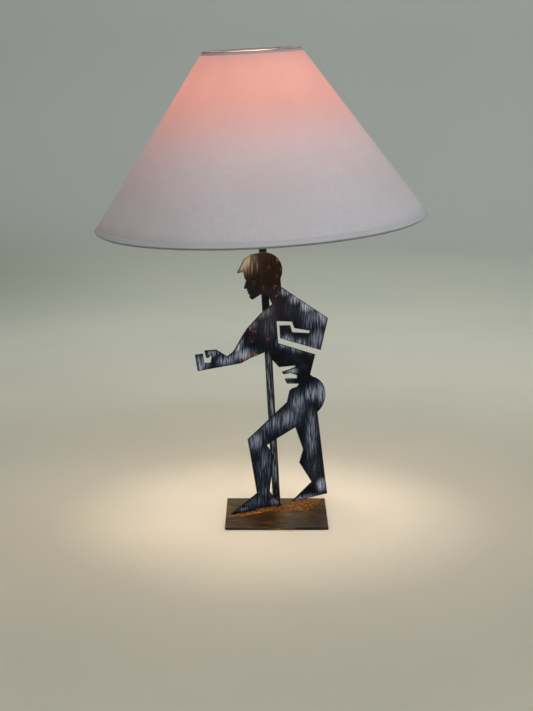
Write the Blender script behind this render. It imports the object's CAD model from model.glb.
import bmesh
import bpy
from math import cos, hypot, pi, radians, sin, sqrt
from mathutils import Matrix, Vector
from random import Random


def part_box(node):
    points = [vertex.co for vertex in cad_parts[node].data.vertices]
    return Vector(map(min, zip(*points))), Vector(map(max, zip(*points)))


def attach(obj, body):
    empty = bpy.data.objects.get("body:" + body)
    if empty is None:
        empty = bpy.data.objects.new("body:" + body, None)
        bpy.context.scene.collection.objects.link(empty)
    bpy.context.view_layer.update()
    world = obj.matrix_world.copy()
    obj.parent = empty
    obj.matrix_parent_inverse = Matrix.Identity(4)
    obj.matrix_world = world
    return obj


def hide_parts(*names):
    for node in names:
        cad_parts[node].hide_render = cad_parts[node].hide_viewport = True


# Figural table lamp: a walking figure cut from steel plate on a flat steel base, a leaning post behind it,
# and a wide cone shade on a harp. Metres, +Z up, -Y towards the viewer, in the CAD model's own frame.
# The sections follow the lamp as it is put together, from the felt upwards.

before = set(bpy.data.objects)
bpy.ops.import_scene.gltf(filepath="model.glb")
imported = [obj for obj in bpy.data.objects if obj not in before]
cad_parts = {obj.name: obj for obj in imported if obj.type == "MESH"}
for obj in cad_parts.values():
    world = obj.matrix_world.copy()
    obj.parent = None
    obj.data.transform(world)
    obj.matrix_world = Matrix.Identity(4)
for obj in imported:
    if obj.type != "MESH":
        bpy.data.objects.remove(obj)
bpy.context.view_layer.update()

MM = 0.001


# ---- felt
# A sheet of dark wool felt, cut a little smaller than the base and glued under it, so that the steel
# doesn't scratch a table. Its cut edge is soft and slightly ragged.

class Output:
    """What a node gives. Numbers are added, subtracted, multiplied and divided in the usual way."""

    def __init__(self, wiring, socket):
        self.wiring = wiring
        self.socket = socket

    def __add__(self, other):
        return self.wiring.maths("ADD", self, other)

    def __sub__(self, other):
        return self.wiring.maths("SUBTRACT", self, other)

    def __rsub__(self, other):
        return self.wiring.maths("SUBTRACT", other, self)

    def __mul__(self, other):
        return self.wiring.maths("MULTIPLY", self, other)

    def __truediv__(self, other):
        return self.wiring.maths("DIVIDE", self, other)

    def most(self, other):
        return self.wiring.maths("MAXIMUM", self, other)

    def least(self, other):
        return self.wiring.maths("MINIMUM", self, other)

    def between(self, low, high, start=0.0, end=1.0):
        """A soft step from start to end, as the number goes from low to high."""
        numbers = (self, low, high, start, end)
        return self.wiring.value("ShaderNodeMapRange", *numbers, interpolation_type="SMOOTHSTEP")

    def spread(self, start, end):
        """From start to end over most of a noise's range."""
        return self.between(0.3, 0.7, start, end)


class Wiring:
    """Builds one tree of nodes."""

    def feed(self, socket, value):
        """Wires a node's output to a socket, sets a plain value on it, or leaves it alone for None."""
        if isinstance(value, Output):
            self.tree.links.new(value.socket, socket)
        elif value is not None:
            socket.default_value = value

    def node(self, kind, *inputs, **settings):
        made = self.tree.nodes.new(kind)
        for name, value in settings.items():
            setattr(made, name, value)
        for socket, value in zip(made.inputs, inputs):
            self.feed(socket, value)
        return made

    def value(self, kind, *inputs, out=0, **settings):
        """What one output of a new node gives."""
        return Output(self, self.node(kind, *inputs, **settings).outputs[out])

    def maths(self, operation, *numbers):
        return self.value("ShaderNodeMath", *numbers, operation=operation)

    def vector(self, operation, *vectors):
        out = 1 if operation in ("LENGTH", "DISTANCE") else 0
        return self.value("ShaderNodeVectorMath", *vectors, out=out, operation=operation)

    def axes(self, place=None):
        """The three numbers of a place."""
        split = self.node("ShaderNodeSeparateXYZ", place or self.here)
        return [Output(self, part) for part in split.outputs]


def paint(colour):
    """What a socket needs for a colour, which is given as red, green and blue out of 255 on a screen."""
    if isinstance(colour, Output):
        return colour
    parts = [part / 255 for part in colour]
    return (*[p / 12.92 if p <= 0.04045 else ((p + 0.055) / 1.055) ** 2.4 for p in parts], 1.0)


class Finish(Wiring):
    """The surface of a piece: one material, whose pattern sits in the piece's own place or on its UV map."""

    def __init__(self, name, metal=0.0, origin=(0, 0, 0), turn=(0, 0, 0), uv_map=None):
        self.material = bpy.data.materials.new(name)
        self.material.use_nodes = True
        self.tree = self.material.node_tree
        self.shader = self.tree.nodes["Principled BSDF"]
        self.shader.inputs["Metallic"].default_value = metal
        if uv_map is None:
            self.here = self.place(origin, turn)
        else:
            self.here = self.value("ShaderNodeUVMap", uv_map=uv_map)

    def place(self, origin, turn):
        """Where a point is, measured from an origin along turned axes."""
        unturned = self.value("ShaderNodeTexCoord", out="Object")
        return self.value("ShaderNodeMapping", unturned, origin, turn, vector_type="TEXTURE")

    def noise(self, size, detail=2.0, shift=(0.0, 0.0, 0.0)):
        """Cloudy noise around 0.5. Its marks have about this size: one number, or one for each axis."""
        sizes = size if isinstance(size, tuple) else (size, size, size)
        scaled = self.vector("DIVIDE", self.vector("ADD", self.here, shift), sizes)
        return self.value("ShaderNodeTexNoise", scaled, None, 1.0, detail)

    def spot(self, centre, reach, place=None):
        """A soft mark: 1 at its centre, and nothing past its reach along each axis."""
        away = self.vector("SUBTRACT", place or self.here, centre)
        return self.vector("LENGTH", self.vector("DIVIDE", away, reach)).between(0.0, 1.0, 1.0, 0.0)

    def over(self, under, cover, amount):
        """One colour laid over another by an amount."""
        # A mix node keeps its colours in inputs 6 and 7, and their mix in output 2.
        colours = (*[None] * 5, paint(under), paint(cover))
        return self.value("ShaderNodeMix", amount, *colours, out=2, data_type="RGBA")

    def ground(self, first, second, amount):
        """The first coat, which goes from one colour to another."""
        self.colour = self.over(first, second, amount)

    def coat(self, colour, amount):
        """A coat of a colour over all that is there."""
        self.colour = self.over(self.colour, colour, amount)

    def finish(self, roughness, height=None, depth=None, strength=1.0, glow=None, **fixed):
        """Wires what varies into the shader, and sets what is the same all over on its sockets."""
        sockets = self.shader.inputs
        self.feed(sockets["Base Color"], self.colour)
        self.feed(sockets["Roughness"], roughness)
        self.feed(sockets["Emission Strength"], glow)
        if height is not None:
            bump = self.node("ShaderNodeBump", strength, depth)
            self.feed(bump.inputs["Height"], height)
            self.tree.links.new(bump.outputs[0], sockets["Normal"])
        for name, value in fixed.items():
            sockets[name.replace("_", " ")].default_value = value
        return self.material


def felt_finish():
    felt = Finish("wool_felt")
    fibres = felt.noise((0.0009, 0.0003, 0.0006), 4)
    crossed = felt.noise((0.0003, 0.0009, 0.0006), 4)
    matted = fibres + crossed
    felt.ground((24, 25, 27), (58, 58, 60), matted.between(0.8, 1.3))
    felt.coat((40, 38, 35), felt.noise(0.025).between(0.5, 0.75))
    rough = matted.between(0.7, 1.3, 0.85, 1.0)
    return felt.finish(rough, matted, 0.0003, Sheen_Weight=0.4, Sheen_Roughness=0.5)


def in_scene(name, data):
    """A new object, linked to the scene."""
    made = bpy.data.objects.new(name, data)
    bpy.context.scene.collection.objects.link(made)
    return made


def fresh_piece(name, mesh, body, *finishes):
    """A new piece that moves with a body. Its place is in its mesh."""
    piece = in_scene(name, mesh)
    for finish in finishes:
        mesh.materials.append(finish)
    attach(piece, body)
    return piece


def smooth(mesh, sharp_angle=40.0):
    """Round faces shade smoothly, and edges sharper than the angle stay crisp."""
    mesh.shade_smooth()
    mesh.set_sharp_from_angle(angle=radians(sharp_angle))


def bridge(shape, under, above):
    """A band of faces from one closed ring of points to the next."""
    for i in range(len(under)):
        after = (i + 1) % len(under)
        shape.faces.new((under[i], under[after], above[after], above[i]))


def settled(shape, name):
    """The mesh of a shape that is done."""
    mesh = bpy.data.meshes.new(name)
    shape.to_mesh(mesh)
    shape.free()
    return mesh


def felt_sheet():
    low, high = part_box("base_felt")
    step = 1.5 * MM
    rag = 0.25 * MM
    fluff = Random(3)
    corners = [(low.x, low.y), (high.x, low.y), (high.x, high.y), (low.x, high.y)]
    outline = []
    for (x0, y0), (x1, y1) in zip(corners, corners[1:] + corners[:1]):
        count = round(hypot(x1 - x0, y1 - y0) / step)
        for place in range(count):
            share = place / count
            inward = 1 - fluff.uniform(0, rag) / hypot(x0, y0)
            outline.append(((x0 + (x1 - x0) * share) * inward, (y0 + (y1 - y0) * share) * inward))
    shape = bmesh.new()
    rings = []
    # The cut edge's section: how far up the sheet, and what share of the outline is worn away there.
    for height, worn in ((0.0, 0.004), (0.3, 0.001), (0.7, 0.0), (1.0, 0.002)):
        z = low.z + (high.z - low.z) * height
        rings.append([shape.verts.new((x * (1 - worn), y * (1 - worn), z)) for x, y in outline])
    for under, above in zip(rings, rings[1:]):
        bridge(shape, under, above)
    shape.faces.new(rings[0][::-1])
    shape.faces.new(rings[-1])
    mesh = settled(shape, "felt_sheet")
    smooth(mesh)
    return mesh, (high.x - low.x, high.y - low.y)


felt_mesh, felt_size = felt_sheet()
felt = fresh_piece("felt_sheet", felt_mesh, "root", felt_finish())
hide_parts("base_felt")


# ---- base
# A flat rectangle of 3 mm steel, brushed from side to side, coloured dark bronze and lacquered. The heat
# and flux of the figure's welds have left an orange bloom of rust along the line where the figure stands.

FIGURE_TURN = radians(27.5)
BASE_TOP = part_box("base_plate")[1].z
TOE = (-72.5 * MM, -10.8 * MM, BASE_TOP)
# The place of a pattern on the figure: along, behind and up from its toe.
FROM_TOE = (TOE, (0, 0, FIGURE_TURN))


def base_finish():
    steel = Finish("bronzed_brushed_steel", metal=0.4)
    from_toe = steel.place(*FROM_TOE)
    x, y, _ = steel.axes()
    broad = steel.noise((0.040, 0.020, 0.02), 4)
    brushed = steel.noise((0.026, 0.0036, 0.004), 4)
    scratched = steel.noise((0.06, 0.0007, 0.004), 3, (0.3, 0.1, 0))
    blotched = steel.noise((0.02, 0.012, 0.02), 5, (0.7, 0.2, 0))
    mottled = steel.noise((0.006, 0.006, 0.01), 6, (0.2, 0.5, 0))

    # Bronze, greener behind, darker in front and greyer on the right.
    steel.ground((46, 32, 12), (114, 84, 32), broad.between(0.38, 0.62))
    steel.coat((88, 82, 28), y.between(0.030, 0.062) * 0.8)
    steel.coat((50, 37, 22), y.between(0.005, -0.05) * 0.7)
    front_right = x.between(-0.01, 0.05) * y.between(0.0, -0.04)
    steel.coat((76, 70, 64), front_right * blotched.between(0.40, 0.56) * 0.7)
    steel.coat((60, 54, 44), x.between(0.015, 0.06) * 0.75)
    steel.coat((22, 14, 8), brushed.between(0.53, 0.38) * 0.8)
    lit = brushed * 0.6 + mottled * 0.4
    steel.coat((140, 116, 76), lit.between(0.52, 0.68) * 0.45)
    steel.coat((150, 126, 90), scratched.between(0.60, 0.76) * 0.4)

    # Rust lies along the weld's line, widest behind the heel and under the raised foot.
    wander = steel.noise((0.014, 0.011, 0.02), 6, (0.1, 0.9, 0))
    line = steel.spot((0.044, -0.004, 0), (0.095, 0.026, 1), from_toe)
    bloom = steel.spot((0.125, -0.010, 0), (0.085, 0.050, 1), from_toe)
    rusting = line.most(bloom)
    rust = (wander + rusting * 0.46).between(0.57, 0.88)
    grains = steel.noise((0.0030, 0.0038, 0.01), 8, (0.6, 0.6, 0))
    orange = steel.over((66, 40, 16), (164, 104, 38), grains.between(0.36, 0.62))
    steel.coat(orange, rust * 0.9)
    bright = (grains + rusting * 0.12).between(0.62, 0.78)
    steel.coat((206, 146, 64), bright * rust.between(0.1, 0.8) * 0.7)
    front_edge = steel.spot((-0.03, -0.045, 0), (0.05, 0.012, 1))
    steel.coat((150, 84, 24), front_edge * wander.between(0.44, 0.6) * 0.6)

    rough = blotched.spread(0.34, 0.52) + rust * 0.25
    return steel.finish(rough, brushed + scratched * 0.5, 0.00012, 0.7, Specular_IOR_Level=0.3)


def dress(finish, *nodes):
    """Gives CAD pieces their finish."""
    for name in nodes:
        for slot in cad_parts[name].material_slots:
            slot.material = finish


dress(base_finish(), "base_plate")


# ---- figure
# The figure is cut by hand with a plasma torch from 3 mm plate. It is blacked, then dry-brushed with a
# silvery paint in short upright strokes. The head is left brown, and rust spots show where flux spat on it.

# Where the silvery strokes are thickest, in mm from the toe: (along, up, half width, half height, strength).
BRUSHED_PLACES = [
    # The front leg.
    (74, 140, 46, 24, 0.45), (106, 146, 28, 24, 0.50), (42, 118, 30, 30, 0.50), (60, 70, 22, 64, 0.40),
    (66, 30, 24, 26, 0.38), (44, 14, 40, 16, 0.40), (80, 10, 14, 9, 0.62), (22, 6, 16, 5, 0.55),
    # The rear leg.
    (166, 186, 16, 30, 0.70), (146, 182, 20, 17, 0.60), (120, 166, 24, 28, 0.52), (146, 112, 14, 54, 0.56),
    (150, 58, 20, 36, 0.30), (166, 25, 12, 14, 0.84), (132, 7, 36, 8, 0.66),
    # The shoulder, the bent arm and the back.
    (98, 352, 14, 10, 0.66), (118, 339, 18, 12, 0.76), (140, 325, 20, 15, 0.74), (163, 306, 15, 20, 0.72),
    (146, 308, 30, 28, 0.46), (108, 318, 24, 22, 0.26), (156, 272, 20, 22, 0.54), (98, 272, 18, 13, 0.74),
    (122, 262, 22, 14, 0.64), (146, 255, 14, 12, 0.58),
    # The arm that reaches forward, and its hand.
    (22, 258, 28, 13, 0.64), (-6, 252, 22, 12, 0.60), (-48, 252, 16, 18, 0.76), (-28, 266, 14, 8, 0.60),
    (14, 278, 12, 24, 0.70), (36, 306, 14, 12, 0.60), (58, 322, 22, 14, 0.66), (70, 300, 22, 34, 0.36),
    # The belly.
    (108, 222, 14, 8, 0.78), (106, 213, 12, 5, 0.90), (106, 200, 12, 8, 0.50),
]

# Where rust shows, in the same order.
RUST_PLACES = [
    (84, 402, 5, 8, 1.0), (72, 410, 8, 4, 0.6), (88, 388, 4, 8, 0.7), (28, 387, 4, 6, 0.9),
    (58, 362, 4, 6, 1.0), (78, 360, 4, 6, 1.0), (84, 346, 6, 10, 0.7), (42, 292, 8, 8, 0.7),
    (36, 280, 9, 7, 0.6), (66, 279, 5, 7, 1.1), (22, 249, 9, 7, 0.8), (46, 256, 14, 4, 0.9),
    (72, 266, 4, 12, 0.7), (80, 240, 8, 5, 0.7), (150, 52, 4, 4, 1.0), (90, 160, 4, 6, 0.8),
]
# A soft mark is at half strength halfway out, so it reaches further than the place it is to fill.
MARK_REACH = 1.6

# Where flux blistered the head: faint rings, in mm (along, up, radius).
BLISTERS = [(68.5, 392, 2.6), (82.5, 377, 2.8), (41, 370, 3.2)]

SILVER_PAINT = (192, 206, 230)
HAZED_STEEL = (38, 52, 82)
BLACKED_STEEL = (4, 7, 17)


def plate_streaks(steel, along=0.0, up=0.0):
    """Short upright strokes of a nearly dry brush: broader dabs, and the fine lines of single bristles."""
    dabs = steel.noise((0.0022, 0.02, 0.032), 4, (along, 0, up))
    bristles = steel.noise((0.0011, 0.02, 0.030), 1, (along + 0.4, 0, up + 0.2))
    hairs = steel.noise((0.0006, 0.02, 0.016), 2, (along + 0.6, 0, up + 0.7))
    return dabs, bristles * 0.6 + hairs * 0.4


def marks_at(steel, places, least):
    """The strongest of the soft marks at these places, and never less than what is given."""
    strongest = least
    for along, up, width, height, strength in places:
        reach = (MARK_REACH * width * MM, 1, MARK_REACH * height * MM)
        strongest = (steel.spot((along * MM, 0, up * MM), reach) * strength).most(strongest)
    return strongest


def figure_finish():
    steel = Finish("brushed_black_plate", 0.0, *FROM_TOE)
    _, _, up = steel.axes()
    grime = steel.noise((0.012, 0.02, 0.018), 5)
    pits = steel.noise((0.0012, 0.003, 0.0012), 4)

    # Loaded, the brush leaves a thin haze with bristle lines in it. As it runs dry, it leaves nothing.
    dabs, lines = plate_streaks(steel)
    amount = marks_at(steel, BRUSHED_PLACES, grime.between(0.35, 0.7, 0.0, 0.16))
    haze = (amount + (dabs - 0.5) * 0.30).between(0.0, 0.95)
    silver = (lines + haze * 0.08).between(0.52, 0.62) * haze.between(0.0, 0.9)
    blue_black = steel.over(BLACKED_STEEL, (20, 24, 38), grime.between(0.45, 0.7))
    steel.ground(blue_black, HAZED_STEEL, haze)
    steel.coat(SILVER_PAINT, silver)

    # The torch's heat blacked a narrow border along the cut. Only the heaviest strokes cover it.
    near_cut = steel.value("ShaderNodeAttribute", out="Fac", attribute_name="near_cut")
    border = near_cut + (dabs - 0.5) * 0.9
    steel.coat((7, 7, 11), border.between(0.15, 0.60) * amount.between(0.86, 0.60) * 0.92)

    # The chest below the neck keeps a thin brown tint.
    chest = steel.spot((0.066, 0, 0.322), (0.056, 1, 0.060))
    steel.coat((48, 37, 39), chest * dabs.between(0.40, 0.60, 0.3, 0.7))

    # The head is brown, down to a ragged line across the neck.
    head_dabs, head_lines = plate_streaks(steel, 0.8, 0.1)
    strokes = head_dabs * 0.4 + head_lines * 0.6
    brown = steel.over((14, 8, 6), (64, 44, 30), strokes.between(0.46, 0.66))
    cap = steel.spot((0.020, 0, 0.404), (0.046, 1, 0.034))
    brown = steel.over(brown, (80, 70, 58), cap * 0.7)
    dry = (strokes + cap * 0.22).between(0.58, 0.77)
    brown = steel.over(brown, (190, 184, 172), dry * 0.7)
    nape = steel.spot((0.074, 0, 0.370), (0.034, 1, 0.034))
    brown = steel.over(brown, (16, 11, 9), nape * 0.8)
    ragged = steel.noise((0.004, 0.02, 0.012), 3, (0.5, 0, 0))
    steel.coat(brown, (up + ragged * 0.02).between(0.360, 0.378))

    # Rust breaks through in flecks.
    flecks = steel.noise((0.0045, 0.02, 0.0055), 5, (0.2, 0, 0.6))
    rust = (flecks + marks_at(steel, RUST_PLACES, 0.0) * 0.34).between(0.70, 0.84)
    tone = steel.noise((0.0035, 0.02, 0.0035), 3, (0.6, 0, 0.3))
    orange = steel.over((58, 28, 18), (172, 96, 44), tone.between(0.46, 0.64))
    steel.coat(orange, rust * 0.85)

    rings = 0.0
    for along, height, radius in BLISTERS:
        away = steel.vector("SUBTRACT", steel.here, (along * MM, 0, height * MM))
        out = steel.vector("LENGTH", steel.vector("MULTIPLY", away, (1, 0, 1)))
        off_ring = steel.maths("ABSOLUTE", out + (pits - 0.5) * 0.003 - 0.8 * radius * MM)
        rings = off_ring.between(0.0011, 0.0002).most(rings)
    rings = rings * pits.between(0.40, 0.6)
    steel.coat((124, 94, 66), rings * 0.45)

    rough = grime.spread(0.42, 0.6) + rust.most(silver) * 0.15
    relief = silver * 0.5 + pits * 0.4 + rust.most(rings) * 0.6
    return steel.finish(rough, relief, 0.00018, 0.8, Specular_IOR_Level=0.12)


def cut_edge_finish():
    """The torch leaves fine drag lines across the thickness of the plate, darkened by its heat."""
    edge = Finish("torch_cut_edge", 0.5, *FROM_TOE)
    drag = edge.noise((0.0006, 0.004, 0.0006), 3)
    scale = edge.noise(0.006, 4)
    edge.ground((18, 19, 26), (96, 100, 118), drag.between(0.5, 0.75))
    edge.coat((84, 50, 28), scale.between(0.6, 0.75))
    return edge.finish(scale.spread(0.4, 0.6), drag, 0.0002)


def filed_corner_finish():
    """The corners of the cut are filed off, and the black on them is rubbed grey in places."""
    corner = Finish("worn_plate_corner", 0.7, *FROM_TOE)
    rubbed = corner.noise(0.009, 4)
    corner.ground((10, 11, 16), (88, 92, 108), rubbed.between(0.56, 0.76))
    return corner.finish(rubbed.between(0.4, 0.7, 0.5, 0.32))


def merged(node, name):
    """A CAD piece's shape as one closed mesh, with each flat face whole."""
    shape = bmesh.new()
    shape.from_mesh(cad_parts[node].data)
    for layer in shape.loops.layers.uv.values():
        shape.loops.layers.uv.remove(layer)
    bmesh.ops.remove_doubles(shape, verts=shape.verts, dist=1e-6)
    bmesh.ops.dissolve_limit(shape, angle_limit=radians(0.6), verts=shape.verts, edges=shape.edges)
    mesh = settled(shape, name)
    for spare in [a.name for a in mesh.attributes if a.name in ("custom_normal", "sharp_face")]:
        mesh.attributes.remove(mesh.attributes[spare])
    return mesh


def mark_border(mesh, front, width):
    """Adds a line inside the outline of both faces, and marks how near to the cut each point is."""
    shape = bmesh.new()
    shape.from_mesh(mesh)
    near_cut = shape.verts.layers.float.new("near_cut")
    for point in shape.verts:
        point[near_cut] = 1.0
    for side in (-1, 1):
        faces = [face for face in shape.faces if side * face.normal.dot(front) > 0.9]
        bmesh.ops.inset_region(shape, faces=faces, thickness=width, use_boundary=True, use_even_offset=True)
        for face in faces:
            for point in face.verts:
                point[near_cut] = 0.0
    shape.to_mesh(mesh)
    shape.free()


figure_mesh = merged("figure_plate", "cut_figure")
figure_skins = (figure_finish(), cut_edge_finish(), filed_corner_finish())
figure = fresh_piece("cut_figure", figure_mesh, "root", *figure_skins)
plate_front = Vector((sin(FIGURE_TURN), -cos(FIGURE_TURN), 0))
mark_border(figure_mesh, plate_front, 2.0 * MM)
for face in figure_mesh.polygons:
    face.material_index = 0 if abs(face.normal.dot(plate_front)) > 0.9 else 1
smooth(figure_mesh, 25)
filed = figure.modifiers.new("filed_corners", "BEVEL")
filed.width = 0.3 * MM
filed.segments = 2
filed.limit_method = "ANGLE"
filed.angle_limit = radians(30)
filed.harden_normals = True
filed.material = 2
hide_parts("figure_plate")


# ---- sole weld
# Two runs of weld join the front foot's sole to the base, one on each side of the plate. They are laid by
# hand, so the ripples are uneven, and they are left unground.

class Pattern(Wiring):
    """A shape made by rule: a tree of geometry nodes with named sizes, used on a starting line."""

    KINDS = {float: "NodeSocketFloat", int: "NodeSocketInt", tuple: "NodeSocketVector"}

    def __init__(self, name, **sizes):
        self.tree = bpy.data.node_groups.new(name, "GeometryNodeTree")
        self.identifiers = {}
        self.add_input("Line", "NodeSocketGeometry")
        for size, value in sizes.items():
            self.add_input(size, self.KINDS[type(value)]).default_value = value
        self.add_input("finish", "NodeSocketMaterial")
        self.tree.interface.new_socket("Shape", in_out="OUTPUT", socket_type="NodeSocketGeometry")
        sockets = self.node("NodeGroupInput").outputs
        self.given = {name: Output(self, sockets[name]) for name in self.identifiers}
        self.here = self.value("GeometryNodeInputPosition")

    def add_input(self, name, kind):
        socket = self.tree.interface.new_socket(name, in_out="INPUT", socket_type=kind)
        self.identifiers[name] = socket.identifier
        return socket

    def at(self, x, y, z):
        return self.value("ShaderNodeCombineXYZ", x, y, z)

    def scaled(self, vector, factor):
        return self.value("ShaderNodeVectorMath", vector, None, None, factor, operation="SCALE")

    def chance(self, low, high, seed):
        """A number between low and high for each point."""
        inputs = (None, None, low, high, None, None, None, None, seed)
        return self.value("FunctionNodeRandomValue", *inputs, out=1)

    def close(self, shape):
        """The end of every tree: plain geometry in its finish."""
        real = self.value("GeometryNodeRealizeInstances", shape)
        rounded = self.value("GeometryNodeSetShadeSmooth", real)
        done = self.value("GeometryNodeSetMaterial", rounded, None, self.given["finish"])
        self.node("NodeGroupOutput", done)

    def make(self, name, line, place, finish, **sizes):
        """The pattern along a line of points, as a plain mesh that is then put in its place."""
        start = bpy.data.meshes.new(name + "_line")
        start.from_pydata(line, [(i, i + 1) for i in range(len(line) - 1)], [])
        draft = in_scene(name + "_draft", start)
        maker = draft.modifiers.new("pattern", "NODES")
        maker.node_group = self.tree
        maker[self.identifiers["finish"]] = finish
        for size, value in sizes.items():
            maker[self.identifiers[size]] = value
        seen = draft.evaluated_get(bpy.context.evaluated_depsgraph_get())
        mesh = bpy.data.meshes.new_from_object(seen)
        mesh.name = name
        mesh.transform(place)
        bpy.data.objects.remove(draft)
        return mesh


FAR = 9.0   # metres: a limit that cuts nothing off


def weld_bead():
    """Ripples set along a line, fused, and cut back to the surfaces that the bead lies against."""
    bead = Pattern(
        "weld_bead",
        pitch=2.2 * MM,
        radius=2.2 * MM,
        unevenness=0.12,
        grain=0.42 * MM,
        tube=0.0,
        lowest=(-FAR, -FAR, -FAR),
        highest=(FAR, FAR, FAR),
        seed=1,
    )
    given = bead.given
    run = bead.value("GeometryNodeMeshToCurve", given["Line"])
    steps = bead.value("GeometryNodeResampleCurve", run, None, None, given["pitch"], mode="LENGTH")
    ripple = bead.value("GeometryNodeMeshIcoSphere", given["radius"], 3)
    along = bead.value("GeometryNodeInputTangent")
    lean = bead.value("FunctionNodeAlignRotationToVector", None, None, along, axis="X")
    size = bead.chance(1.0 - given["unevenness"], given["unevenness"] + 1.0, given["seed"])
    thin = bead.at(size * 0.62, size, size)
    row = bead.value("GeometryNodeInstanceOnPoints", steps, None, ripple, None, None, lean, thin)
    loose = bead.value("GeometryNodeRealizeInstances", row)
    by_size = {"resolution_mode": "VOXEL_SIZE"}
    solid = bead.value("GeometryNodeMeshToVolume", loose, 1.0, given["grain"], **by_size)
    fused = bead.value("GeometryNodeVolumeToMesh", solid, given["grain"], **by_size)

    # Nothing of the bead is inside the tube about z, below the lowest corner or beyond the highest.
    x, y, z = bead.axes()
    flat = bead.at(x, y, 0.0)
    grow = (given["tube"] / bead.vector("LENGTH", flat).most(1e-6)).most(1.0)
    outside = bead.vector("ADD", bead.scaled(flat, grow), bead.at(0.0, 0.0, z))
    kept = bead.vector("MINIMUM", bead.vector("MAXIMUM", outside, given["lowest"]), given["highest"])
    bead.close(bead.value("GeometryNodeSetPosition", fused, None, kept))
    return bead


def weld_finish(name, rusted):
    metal = Finish(name, metal=0.6)
    skin = metal.noise(0.0008, 4)
    heat = metal.noise(0.007, 4)
    metal.ground((50, 49, 54), (176, 174, 180), skin.between(0.44, 0.62))
    metal.coat((132, 66, 24), (heat + rusted).between(0.48, 0.62) * 0.85)
    metal.coat((24, 22, 26), skin.between(0.46, 0.3) * 0.7)
    return metal.finish(skin.spread(0.3, 0.6), skin, 0.0002)


SOLE_WELD_RADIUS = 2.2 * MM
PLATE_THICKNESS = 3.0 * MM
# Where each run starts and ends along the sole, in mm from the toe, and which side of the plate it is on.
SOLE_RUNS = [("front", 46, 80, 0.0), ("back", 16, 72, PLATE_THICKNESS)]

weld = weld_bead()
weld_skin = weld_finish("weld_metal", 0.0)
rusted_weld = weld_finish("rusted_weld_metal", 0.14)
on_plate = Matrix.Translation(TOE) @ Matrix.Rotation(FIGURE_TURN, 4, "Z")
sole_welds = []
for seed, (side, start, end, depth) in enumerate(SOLE_RUNS):
    sole_welds.append(
        weld.make(
            f"sole_weld_{side}",
            [(start * MM, depth, 0), (end * MM, depth, 0)],
            on_plate,
            rusted_weld,
            radius=SOLE_WELD_RADIUS,
            lowest=(-FAR, -FAR if side == "front" else depth, 0.0),
            highest=(FAR, depth if side == "front" else FAR, FAR),
            seed=seed,
        )
    )


def joined(name, meshes):
    """Several meshes of one finish as one."""
    shape = bmesh.new()
    for mesh in meshes:
        shape.from_mesh(mesh)
        bpy.data.meshes.remove(mesh)
    return settled(shape, name)


sole_weld = fresh_piece("sole_weld", joined("sole_weld", sole_welds), "root", rusted_weld)
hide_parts("foot_weld")


# ---- post
# A length of 12 mm steel tube with a 1.5 mm wall. It leans in the figure's own plane, is painted black like
# the figure, and is brushed with the same silvery paint along its length.

POST_RADIUS = 6.0 * MM
POST_LEAN = radians(3.5)
POST_FOOT_ALONG = 87.5 * MM
POST_GAP = 0.05 * MM

post_behind = PLATE_THICKNESS + POST_GAP + POST_RADIUS
post_foot = on_plate @ Vector((POST_FOOT_ALONG, post_behind, 0))
post_axis = (on_plate.to_3x3() @ Vector((-sin(POST_LEAN), 0, cos(POST_LEAN)))).normalized()
post_side = (Vector((1, 0, 0)) - post_axis * post_axis.x).normalized()
post_back = post_axis.cross(post_side)
on_post = Matrix.Translation(post_foot) @ Matrix((post_side, post_back, post_axis)).transposed().to_4x4()
# The place of a pattern on whatever shares the post's axis: aside, behind and up from its foot.
FROM_FOOT = (tuple(post_foot), tuple(on_post.to_euler()))


def post_finish():
    steel = Finish("brushed_black_tube", 0.0, *FROM_FOOT)
    aside, _, up = steel.axes()
    fine = steel.noise((0.0012, 0.0012, 0.03), 3)
    dabs = steel.noise((0.006, 0.006, 0.04), 3, (0.3, 0, 0.2))
    grime = steel.noise((0.01, 0.01, 0.02), 5)

    # The brush only reached the front and the back, and only below the figure's arm.
    streaks = (fine * 0.6 + dabs * 0.4).between(0.46, 0.60)
    faces = steel.maths("ABSOLUTE", aside + (dabs - 0.5) * 0.006).between(0.0046, 0.0028)
    silver = streaks * faces * up.between(0.262, 0.245) * 0.54
    steel.ground((8, 9, 14), SILVER_PAINT, silver)
    speckled = steel.noise(0.0016, 2, (0.5, 0.5, 0))
    steel.coat((120, 112, 110), speckled.between(0.66, 0.74) * 0.5)
    steel.coat((44, 20, 16), up.between(0.40, 0.44) * grime.between(0.4, 0.6))
    at_thigh = steel.spot((0, 0, 0.137), (1, 1, 0.024))
    at_base = steel.spot((-0.006, 0, 0.004), (0.012, 1, 0.042))
    rust = at_thigh.most(at_base) * 1.7 * grime.between(0.4, 0.6)
    orange = steel.over((110, 50, 24), (178, 96, 40), fine.between(0.42, 0.6))
    steel.coat(orange, rust.least(0.9))
    rough = grime.spread(0.32, 0.55)
    return steel.finish(rough, silver * 0.5 + grime * 0.5, 0.00015, 0.7, Specular_IOR_Level=0.15)


dress(post_finish(), "post_tube")


# ---- post welds
# A weld runs round the back of the post's foot, from one side of the plate to the other. Higher up, three
# pairs of short runs tack the post to the plate's back in the grooves beside it.

POST_WELD_RING = 7.4 * MM
POST_WELD_RADIUS = 2.5 * MM
POST_WELD_LIFT = 0.2 * MM
PLATE_SIDE = 42          # degrees from straight ahead to where the ring of weld meets the plate
RING_STEPS = 48
TACK_RADIUS = 2.0 * MM
TACK_SINK = 0.4 * MM     # into the plate's back
TACK_HEIGHTS = [(126, 140), (284, 298), (368, 382)]   # mm up the post, each pair's start and end

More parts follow.
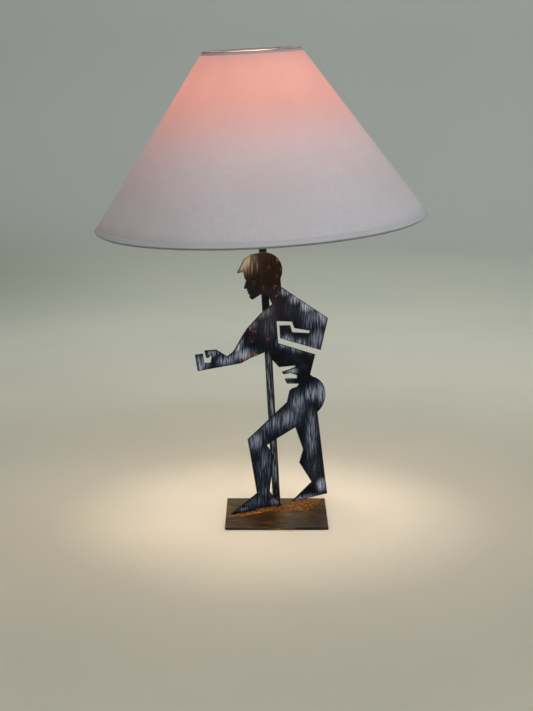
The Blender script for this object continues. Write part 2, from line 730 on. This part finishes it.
# In a frame at the foot that is turned with the plate, the plate's back lies this far in front of the axis.
plate_from_axis = post_behind - PLATE_THICKNESS
clear_of_post = POST_RADIUS + 0.05 * MM
at_foot = Matrix.Translation(post_foot) @ Matrix.Rotation(FIGURE_TURN, 4, "Z")
first_angle = radians(-90 + PLATE_SIDE)
last_angle = radians(270 - PLATE_SIDE)
ring_line = []
for step in range(RING_STEPS + 1):
    angle = first_angle + (last_angle - first_angle) * step / RING_STEPS
    ring_line.append((POST_WELD_RING * cos(angle), POST_WELD_RING * sin(angle), POST_WELD_LIFT))
post_weld_mesh = weld.make(
    "post_foot_weld",
    ring_line,
    at_foot,
    rusted_weld,
    radius=POST_WELD_RADIUS,
    tube=clear_of_post,
    lowest=(-FAR, -plate_from_axis, 0.0),
    seed=5,
)
post_foot_weld = fresh_piece("post_foot_weld", post_weld_mesh, "root")
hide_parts("post_weld")

up_the_post = at_foot @ Matrix.Rotation(-POST_LEAN, 4, "Y")
tack_behind = POST_RADIUS - TACK_SINK
tack_aside = sqrt((POST_RADIUS + TACK_RADIUS) ** 2 - tack_behind ** 2)
tacks = []
for number, (low, high) in enumerate(TACK_HEIGHTS):
    for side in (-1, 1):
        tacks.append(
            weld.make(
                f"tack_{number}",
                [(side * tack_aside, -tack_behind, height * MM) for height in (low, high)],
                up_the_post,
                weld_skin,
                radius=TACK_RADIUS,
                tube=clear_of_post,
                lowest=(-FAR, -plate_from_axis, -FAR),
                seed=10 + 2 * number + (side > 0),
            )
        )
tack_welds = fresh_piece("tack_welds", joined("tack_welds", tacks), "root", weld_skin)
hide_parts("post_tack_welds")


# ---- bushing
# A moulded rubber bushing snaps into the hole at the back of the post's foot, where the cord comes out.

def rubber_finish():
    rubber = Finish("black_rubber")
    grain = rubber.noise(0.0004, 3)
    dust = rubber.noise(0.004, 4)
    rubber.ground((20, 20, 21), (62, 60, 57), dust.between(0.5, 0.75))
    return rubber.finish(dust.spread(0.55, 0.8), grain, 0.0001, 0.5)


dress(rubber_finish(), "cord_bushing")


# ---- pipe, washer and nut
# A zinc-plated M10 pipe is screwed into the top of the post. The washer, the saddle and the lock nut are
# clamped on it, with the plating's faint yellow and blue tints.

def zinc_finish():
    zinc = Finish("zinc_plated_steel", 1.0, *FROM_FOOT)
    grain = zinc.noise(0.0006, 4)
    tint = zinc.noise(0.006, 3)
    turned = zinc.noise((0.012, 0.012, 0.0003), 3)
    zinc.ground((176, 180, 186), (198, 192, 168), tint.between(0.4, 0.65))
    zinc.coat((132, 136, 142), grain.between(0.6, 0.75))
    return zinc.finish(grain.spread(0.28, 0.45), turned, 0.00005, 0.6)


def thread_finish():
    """The pipe's thread: rolled ridges 1 mm apart up its length."""
    zinc = Finish("zinc_plated_thread", 1.0, *FROM_FOOT)
    _, _, up = zinc.axes()
    ridge = zinc.maths("PINGPONG", up, 0.5 * MM)
    grain = zinc.noise(0.001, 4)
    zinc.ground((120, 122, 124), (190, 190, 184), ridge.between(0.0, 0.4 * MM))
    return zinc.finish(grain.spread(0.3, 0.5), ridge, 1.0)


dress(zinc_finish(), "seat_washer", "harp_saddle", "lock_nut")
dress(thread_finish(), "threaded_nipple")


# ---- lampholder
# A keyed brass lampholder: a spun cap that screws on the pipe, a drawn shell with a card sleeve inside it,
# and a moulded block that carries the screw shell, the centre contact and the two terminals.

def brass_finish(name, polish, age):
    """Spun or turned brass: fine lines round the post's axis, under a patina that gathers in patches."""
    brass = Finish(name, 1.0, *FROM_FOOT)
    spun = brass.noise((0.03, 0.03, 0.00025), 4)
    patina = brass.noise(0.009, 5)
    marks = brass.noise(0.0015, 3)
    brass.ground((196, 158, 88), (222, 190, 122), spun.between(0.4, 0.6))
    brass.coat((122, 84, 44), patina.between(0.42, 0.7) * age)
    brass.coat((70, 50, 30), marks.between(0.64, 0.74) * age)
    return brass.finish(patina.spread(polish, polish + 0.18), spun, 0.00006, 0.6)


def card_finish():
    card = Finish("insulating_card", 0.0, *FROM_FOOT)
    fibres = card.noise((0.0004, 0.0004, 0.002), 4)
    flecks = card.noise(0.0012, 3)
    card.ground((120, 92, 60), (170, 140, 98), fibres.between(0.35, 0.65))
    card.coat((72, 54, 36), flecks.between(0.64, 0.76))
    return card.finish(fibres.spread(0.75, 0.95), fibres, 0.0001)


def moulded_finish():
    """Moulded phenolic: near black, with pale filler flecks and a dull moulding skin."""
    block = Finish("moulded_phenolic")
    flecks = block.noise(0.0009, 3)
    skin = block.noise(0.006, 4)
    block.ground((18, 16, 16), (60, 48, 40), flecks.between(0.58, 0.72))
    return block.finish(skin.between(0.35, 0.65, 0.25, 0.45), skin, 0.0001, 0.4)


def aluminium_finish():
    shell = Finish("drawn_aluminium", 1.0, *FROM_FOOT)
    drawn = shell.noise((0.02, 0.02, 0.0003), 4)
    dull = shell.noise(0.005, 4)
    shell.ground((168, 168, 170), (208, 208, 206), drawn.between(0.4, 0.6))
    shell.coat((120, 120, 122), dull.between(0.5, 0.7) * 0.6)
    return shell.finish(dull.spread(0.25, 0.45), drawn, 0.00006, 0.6)


brass = brass_finish("spun_brass", 0.24, 0.7)
dress(brass, "socket_cap", "socket_shell", "terminal_screws", "socket_contact")
dress(card_finish(), "socket_sleeve")
moulded = moulded_finish()
dress(moulded, "socket_body")
dress(aluminium_finish(), "socket_screw_shell", "bulb_screw_base")


# ---- switch
# A brass shaft comes out of the shell's side, with a moulded two-winged key pressed on it.

dress(brass, "switch_shaft")
dress(moulded, "switch_key")


# ---- harp
# A bow of 3.2 mm steel wire, plated dull nickel, whose legs stand beside the saddle's prongs. Two thin
# sleeves drop over the pairs to lock them. The stud on top carries the shade.

def harp_finish():
    wire = Finish("nickel_plated_wire", 1.0, *FROM_FOOT)
    drawn = wire.noise((0.0008, 0.0008, 0.02), 4)
    dull = wire.noise((0.008, 0.008, 0.02), 4)
    wire.ground((150, 144, 132), (196, 190, 176), drawn.between(0.4, 0.62))
    wire.coat((96, 84, 66), dull.between(0.52, 0.7) * 0.6)
    return wire.finish(dull.spread(0.22, 0.42), drawn, 0.00006, 0.6)


dress(harp_finish(), "harp_wire")
turned_brass = brass_finish("turned_brass", 0.2, 0.45)
dress(turned_brass, "harp_stud", "harp_ferrule_left", "harp_ferrule_right", "finial")


# ---- shade cloth
# Off-white linen-look cloth, cut as an arc, bonded to a stiff liner and wrapped to a cone. Its ends overlap
# in one glued lap at the back. The lamp inside lights it salmon pink, most where the lamp is nearest.

SHADE_BOTTOM_RADIUS = 254.0 * MM
SHADE_TOP_RADIUS = 74.0 * MM
SHADE_HEIGHT = 255.0 * MM
SHADE_BOTTOM_LEVEL = 466.0 * MM     # up the post from its foot
GLOBE_LEVEL = 610.2 * MM
CLOTH_THICKNESS = 0.55 * MM
LAP_WIDTH = 12.0 * MM
THREAD = 0.6 * MM
PINK_GLOW = (1.0, 0.33, 0.24, 1.0)

slant = hypot(SHADE_HEIGHT, SHADE_BOTTOM_RADIUS - SHADE_TOP_RADIUS)
slant_in = (SHADE_BOTTOM_RADIUS - SHADE_TOP_RADIUS) / slant
slant_up = SHADE_HEIGHT / slant
globe_centre = on_post @ Vector((0, 0, GLOBE_LEVEL))
nearest_cloth = SHADE_BOTTOM_RADIUS * slant_up - (GLOBE_LEVEL - SHADE_BOTTOM_LEVEL) * slant_in


def lamp_glow(cloth):
    """How much of the lamp's light comes through: 1 where it is nearest, less with the distance cubed."""
    unturned = cloth.value("ShaderNodeTexCoord", out="Object")
    apart = cloth.vector("DISTANCE", unturned, tuple(globe_centre))
    return cloth.maths("POWER", cloth.maths("DIVIDE", nearest_cloth, apart), 3.0)


def cloth_finish():
    cloth = Finish("shade_linen", uv_map="UVMap")
    across, up, _ = cloth.axes()
    turns_across = across * (pi / THREAD)
    turns_up = up * (pi / THREAD)
    warp = cloth.maths("SINE", turns_across)
    weft = cloth.maths("SINE", turns_up)
    warp_on_top = (warp * weft).between(-0.2, 0.2)
    warp_round = cloth.maths("ABSOLUTE", cloth.maths("COSINE", turns_across))
    weft_round = cloth.maths("ABSOLUTE", cloth.maths("COSINE", turns_up))
    weave = warp_round * warp_on_top + weft_round * (1.0 - warp_on_top)
    slubs_across = cloth.noise((0.022, 0.0012, 1), 3)
    slubs_up = cloth.noise((0.0012, 0.022, 1), 3, (0.4, 0.1, 0))
    threads = slubs_across + slubs_up
    clouds = cloth.noise((0.12, 0.09, 1), 2, (0.2, 0.2, 0))

    glow = lamp_glow(cloth)
    cloth.ground((213, 214, 220), (223, 224, 230), threads.between(0.75, 1.25))
    cloth.coat((213, 214, 219), clouds.between(0.4, 0.7))
    cloth.coat((196, 168, 162), glow.between(0.25, 1.0))
    uneven_glow = glow * threads.between(0.6, 1.4, 0.92, 1.08) * clouds.spread(0.95, 1.05)
    return cloth.finish(
        threads.between(0.7, 1.3, 0.8, 0.95),
        weave * 0.6 + threads * 0.4,
        0.00006,
        0.4,
        glow=uneven_glow * 0.57,
        Emission_Color=PINK_GLOW,
        Sheen_Weight=0.15,
        Sheen_Roughness=0.6,
        Specular_IOR_Level=0.25,
    )


def wrapped_cone():
    """The cloth as a strip that goes once round the cone and laps over its own start."""
    cone = Pattern(
        "wrapped_cone",
        bottom_radius=0.254,
        top_radius=0.074,
        height=0.255,
        lap=0.012,
        lift=0.0006,
        around=288,
        rows=13,
    )
    given = cone.given
    grid = cone.value("GeometryNodeMeshGrid", 1.0, 1.0, given["around"], given["rows"])
    slope = given["bottom_radius"] - given["top_radius"]
    slant_length = cone.maths("SQRT", slope * slope + given["height"] * given["height"])
    x, y, _ = cone.axes()
    round_share = x + 0.5
    up_share = y + 0.5
    radius = given["bottom_radius"] - slope * up_share

    # At the end of a whole turn, the strip climbs on its own start. The lap is equally wide all the way up.
    lap_angle = given["lap"] / radius
    angle = round_share * (lap_angle + 2 * pi)
    climb = cone.value("ShaderNodeMapRange", angle, 2 * pi - lap_angle, 2 * pi, 0.0, given["lift"])
    out = radius + climb
    seam_at_back = pi / 2
    turned = angle + seam_at_back
    wrapped = cone.at(
        out * cone.maths("COSINE", turned),
        out * cone.maths("SINE", turned),
        given["height"] * up_share,
    )
    unrolled = cone.at(round_share * (given["bottom_radius"] * (2 * pi)), up_share * slant_length, 0.0)
    corners = {"data_type": "FLOAT2", "domain": "CORNER"}
    named = cone.value("GeometryNodeStoreNamedAttribute", grid, None, "UVMap", unrolled, **corners)
    cone.close(cone.value("GeometryNodeSetPosition", named, None, wrapped))
    return cone


at_shade = on_post @ Matrix.Translation((0, 0, SHADE_BOTTOM_LEVEL))
cloth_mesh = wrapped_cone().make(
    "shade_cloth",
    [(0, 0, 0), (0, 0, 0.01)],
    at_shade,
    cloth_finish(),
    bottom_radius=SHADE_BOTTOM_RADIUS,
    top_radius=SHADE_TOP_RADIUS,
    height=SHADE_HEIGHT,
    lap=LAP_WIDTH,
)
cloth = fresh_piece("shade_cloth", cloth_mesh, "shade")
body_of_cloth = cloth.modifiers.new("thickness", "SOLIDIFY")
body_of_cloth.thickness = CLOTH_THICKNESS
body_of_cloth.offset = -1
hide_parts("shade_fabric")


# ---- shade hems
# A bias tape of a closer cloth is folded round each cut edge and glued: down the outside, over the edge,
# and behind the wire ring. It puckers a little on the curve, and its folds are grimed.

LINER_DEPTH = 1.3 * MM
RING_RADIUS = 1.5 * MM
RING_INSET = 1.8 * MM
FOLD_GAP = 0.05 * MM
TAPE = 0.5 * MM
BOTTOM_TAPE_WIDTH = 8.5 * MM
TOP_TAPE_WIDTH = 5.0 * MM
FOLD_STEPS = 5
tape_depth = LINER_DEPTH + FOLD_GAP + 2 * RING_RADIUS + FOLD_GAP


def cone_point(from_bottom, inward):
    """(radius, height) on the shade's section, from the way up the slant and the depth behind its face."""
    radius = SHADE_BOTTOM_RADIUS - from_bottom * slant_in - inward * slant_up
    height = from_bottom * slant_up - inward * slant_in
    return radius, height


def fold(centre_along, centre_depth, first, last):
    """A rounded fold of the tape, as (along, depth) points from a first angle to a last."""
    points = []
    for step in range(FOLD_STEPS + 1):
        angle = radians(first + (last - first) * step / FOLD_STEPS)
        points.append((centre_along - TAPE * sin(angle), centre_depth - TAPE * cos(angle)))
    return points


def tape_section(width, at_top):
    """The folded tape's section, as a closed line of (radius, height) points."""
    edge = slant if at_top else 0.0
    inward = -1 if at_top else 1
    inner_width = 2 * RING_INSET
    outline = [(width, -0.1 * TAPE), (0.96 * width, -0.5 * TAPE), (0.6 * width, -0.8 * TAPE)]
    outline += fold(0.3 * TAPE, 0.0, 0, 80)
    outline += fold(0.5 * TAPE, tape_depth, 95, 180)
    outline += [(inner_width, tape_depth + TAPE), (inner_width, tape_depth)]
    outline += [(0.3 * TAPE, tape_depth - 0.2 * TAPE), (0.0, tape_depth - TAPE), (0.0, 0.0), (width, 0.0)]
    section = [cone_point(edge + inward * along, depth) for along, depth in outline]
    return section[::-1] if at_top else section


def rolled_tape():
    """A section swept round a circle, whose surface puckers slightly."""
    tape = Pattern("rolled_tape", radius=0.25, around=360, pucker=0.00012, pucker_size=0.006, seed=3)
    given = tape.given
    section = tape.value("GeometryNodeMeshToCurve", given["Line"])
    section = tape.value("GeometryNodeSetSplineCyclic", section, None, True)
    circle = (given["around"], None, None, None, given["radius"])
    rim = tape.value("GeometryNodeCurvePrimitiveCircle", *circle)
    swept = tape.value("GeometryNodeCurveToMesh", rim, section)
    size = given["pucker_size"]
    scaled = tape.vector("DIVIDE", tape.here, tape.at(size, size, size))
    shifted = tape.vector("ADD", scaled, tape.at(given["seed"], 0.0, 0.0))
    sway = (tape.value("ShaderNodeTexNoise", shifted, None, 1.0, 1.0) - 0.5) * given["pucker"]
    offset = tape.scaled(tape.value("GeometryNodeInputNormal"), sway)
    tape.close(tape.value("GeometryNodeSetPosition", swept, None, None, offset))
    return tape


def tape_finish():
    tape = Finish("hem_tape", 0.0, *FROM_FOOT)
    aside, behind, up = tape.axes()
    ribs_round = 1100.0
    rib_pitch = 0.7 * MM
    rib = tape.maths("SINE", tape.maths("ARCTAN2", behind, aside) * ribs_round)
    cross = tape.maths("SINE", up * (2 * pi / rib_pitch))
    ribs = rib + cross
    soil = tape.noise(0.02, 4)
    tape.ground((211, 210, 215), (220, 219, 224), ribs.between(-1.2, 1.2))
    tape.coat((204, 203, 208), soil.between(0.45, 0.7) * 0.5)

    # The top tape is greyer, and browned by heat where it is folded inside. Both folds are grimed.
    bottom_level = SHADE_BOTTOM_LEVEL
    top_level = SHADE_BOTTOM_LEVEL + SHADE_HEIGHT
    at_top = up.between(bottom_level + 0.1, bottom_level + 0.2)
    tape.coat((190, 182, 190), at_top)
    radius = tape.maths("SQRT", aside * aside + behind * behind)
    slope = slant_in / slant_up
    face_radius = SHADE_BOTTOM_RADIUS + bottom_level * slope - up * slope
    inside = ((face_radius - radius) * slant_up).between(1 * MM, 3 * MM)
    tape.coat((134, 130, 114), inside * at_top)
    bottom_fold = up.between(bottom_level + 1.5 * MM, bottom_level + 0.1 * MM)
    top_fold = up.between(top_level - 1.2 * MM, top_level - 0.2 * MM) * (1.0 - inside)
    folds = bottom_fold.most(top_fold)
    tape.coat((112, 110, 112), folds * 0.75)
    return tape.finish(
        soil.spread(0.75, 0.9),
        ribs,
        0.00006,
        0.4,
        glow=lamp_glow(tape) * 0.10 * (1.0 - folds),
        Emission_Color=PINK_GLOW,
    )


tape_skin = tape_finish()
rolled = rolled_tape()
for name, node, width, at_top in (
    ("bottom_hem_tape", "shade_bottom_hem", BOTTOM_TAPE_WIDTH, False),
    ("top_hem_tape", "shade_top_hem", TOP_TAPE_WIDTH, True),
):
    rim_radius = SHADE_TOP_RADIUS if at_top else SHADE_BOTTOM_RADIUS
    line = [(radius - rim_radius, -height, 0) for radius, height in tape_section(width, at_top)]
    hem = fresh_piece(name, rolled.make(name, line, at_shade, tape_skin, radius=rim_radius), "shade")
    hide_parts(node)


# ---- shade liner
# A sheet of off-white styrene behind the cloth keeps the cone's shape and spreads the lamp's light.

def liner_finish():
    liner = Finish("styrene_liner", 0.0, *FROM_FOOT)
    haze = liner.noise(0.03, 4)
    grain = liner.noise(0.0008, 2)
    liner.ground((214, 205, 188), (224, 217, 202), haze.between(0.35, 0.65))
    glow = lamp_glow(liner) * haze.spread(0.9, 1.1) * 0.2
    warm = (1.0, 0.72, 0.46, 1.0)
    return liner.finish(haze.spread(0.45, 0.6), grain, 0.00005, 0.4, glow, Emission_Color=warm)


dress(liner_finish(), "shade_liner")


# ---- shade wires
# Two rings of 3 mm wire hold the cone round. Three spokes are soldered between the top ring and a pierced
# hub, which sits on the harp's stud. All the wire is dipped in white enamel.

def enamel_finish():
    enamel = Finish("white_enamel")
    runs = enamel.noise(0.006, 3)
    chips = enamel.noise(0.0016, 3)
    enamel.ground((224, 221, 212), (238, 236, 230), runs.between(0.35, 0.65))
    enamel.coat((112, 100, 88), chips.between(0.7, 0.76))
    return enamel.finish(runs.spread(0.28, 0.42), runs, 0.0002, 0.4)


dress(enamel_finish(), "shade_bottom_ring", "shade_top_ring", "spider_arms", "spider_hub")


# ---- lamp
# A screw-in LED lamp: a rolled aluminium screw with a soldered contact, a moulded white collar round its
# driver, and a frosted globe that is evenly lit by the board of diodes under it.

def solder_finish():
    solder = Finish("solder", metal=1.0)
    grain = solder.noise(0.001, 4)
    solder.ground((138, 138, 140), (196, 196, 194), grain.between(0.35, 0.65))
    return solder.finish(grain.spread(0.3, 0.5), grain, 0.0002)


def glass_finish():
    glass = Finish("black_glass_insulator")
    swirl = glass.noise(0.002, 4)
    glass.ground((12, 10, 18), (46, 34, 60), swirl.between(0.5, 0.7))
    return glass.finish(swirl.spread(0.08, 0.2), swirl, 0.0001, 0.3)


def collar_finish():
    collar = Finish("moulded_white_collar", 0.0, *FROM_FOOT)
    grain = collar.noise(0.0005, 2)
    tone = collar.noise(0.01, 3)
    collar.ground((226, 224, 218), (236, 234, 230), tone.between(0.35, 0.65))
    return collar.finish(tone.spread(0.35, 0.5), grain, 0.00004, 0.5)


def globe_finish():
    """Frosted and lit from within: brightest towards its top, and a little dimmer towards its seat."""
    globe = Finish("frosted_globe", 0.0, *FROM_FOOT)
    _, _, up = globe.axes()
    frost = globe.noise(0.0006, 3)
    globe.ground((240, 232, 220), (250, 246, 238), frost.between(0.35, 0.65))
    glow = up.between(GLOBE_LEVEL - 0.03, GLOBE_LEVEL + 0.03, 3.0, 4.0)
    warm = (1.0, 0.76, 0.50, 1.0)
    return globe.finish(frost.spread(0.45, 0.6), frost, 0.00003, 0.4, glow, Emission_Color=warm)


def board_finish():
    """The diodes' board: white solder mask with yellow phosphor squares 6 mm apart."""
    board = Finish("diode_board", 0.0, *FROM_FOOT)
    cells = board.vector("DIVIDE", board.here, (0.006, 0.006, 1.0))
    near = board.value("ShaderNodeTexVoronoi", cells, None, 1.0, distance="CHEBYCHEV")
    tone = board.noise(0.003, 2)
    board.ground((226, 228, 224), (232, 200, 60), near.between(0.26, 0.22))
    return board.finish(tone.spread(0.3, 0.5), near, 0.0004, 0.4)


dress(solder_finish(), "bulb_contact")
dress(glass_finish(), "bulb_insulator")
dress(collar_finish(), "bulb_housing")
dress(globe_finish(), "bulb_globe")
dress(board_finish(), "bulb_led_board")


# ---- stage
# A pale round floor that sweeps up to a wall, well outside the lamp.

def stage_finish():
    wall = Finish("pale_stage")
    clouds = wall.noise(0.7, 3)
    out = wall.vector("LENGTH", wall.here)
    wall.ground((250, 243, 231), (198, 197, 186), out.between(0.13, 0.38))
    wall.coat((226, 225, 208), out.between(0.45, 1.0))
    wall.coat((204, 205, 190), out.between(1.1, 2.3))
    wall.coat((194, 197, 193), out.between(2.3, 3.6))
    wall.coat((190, 194, 188), clouds.between(0.4, 0.7) * 0.3)
    wall.coat((168, 171, 154), wall.spot((-1.1, 2.3, 0), (1.0, 1.2, 1)) * 0.8)
    return wall.finish(clouds.spread(0.85, 0.95))


def stage_bowl():
    floor_radius = 3.0
    sweep = 0.8
    sweep_steps = 12
    wall_height = 3.0
    around = 96
    profile = [(0.35, 0.0), (1.2, 0.0), (floor_radius, 0.0)]
    for step in range(1, sweep_steps + 1):
        angle = radians(90 * step / sweep_steps)
        profile.append((floor_radius + sweep * sin(angle), sweep * (1 - cos(angle))))
    profile.append((floor_radius + sweep, wall_height))
    turns = [2 * pi * i / around for i in range(around)]
    shape = bmesh.new()
    rings = []
    for radius, z in profile:
        rings.append([shape.verts.new((radius * cos(turn), radius * sin(turn), z)) for turn in turns])
    shape.faces.new(rings[0])
    for inner, outer in zip(rings, rings[1:]):
        bridge(shape, outer, inner)
    mesh = settled(shape, "stage")
    mesh.shade_smooth()
    return mesh


stage = in_scene("stage", stage_bowl())
stage.data.materials.append(stage_finish())


# ---- light and camera
# A large window to the right, the room in front, a wash on the wall, a weak light from behind, and the lit
# lamp itself, which shines down through the open shade on the floor.

def soft_light(name, size, power, colour, place, aim):
    lamp = bpy.data.lights.new(name, "AREA")
    lamp.size = size
    lamp.energy = power
    lamp.color = colour
    light = in_scene(name, lamp)
    light.location = place
    light.rotation_euler = (Vector(place) - Vector(aim)).to_track_quat("Z", "Y").to_euler()
    light.visible_camera = False


soft_light("window_light", 1.6, 19.2, (0.93, 0.95, 1.0), (1.6, -2.2, 1.5), (0, 0, 0.4))
soft_light("room_light", 1.8, 8.6, (0.95, 0.96, 1.0), (-0.1, -2.8, 1.2), (0, 0, 0.3))
soft_light("wall_light", 1.6, 25.0, (1.0, 1.0, 1.0), (0.5, 1.2, 2.4), (0.3, 3.2, 0.9))
soft_light("rear_light", 1.8, 1.6, (0.95, 0.97, 1.0), (-1.2, 2.4, 1.3), (0, 0, 0.3))

filament = bpy.data.lights.new("lamp_light", "POINT")
filament.energy = 5.7
filament.color = (1.0, 0.84, 0.68)
filament.shadow_soft_size = 26 * MM
in_scene("lamp_light", filament).location = globe_centre
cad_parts["bulb_globe"].visible_shadow = False

world = bpy.data.worlds.new("room")
world.use_nodes = True
background = world.node_tree.nodes["Background"]
background.inputs["Color"].default_value = (0.80, 0.84, 0.84, 1.0)
background.inputs["Strength"].default_value = 0.40
bpy.context.scene.world = world
bpy.context.scene.view_settings.view_transform = "Standard"

lens = bpy.data.cameras.new("view")
lens.lens = 67.59
lens.sensor_width = 36
eye = in_scene("view", lens)
eye.location = (-0.01572, -2.0218, 0.71809)
eye.rotation_euler = (pi / 2 - 0.2223, 0, 0)
bpy.context.scene.camera = eye
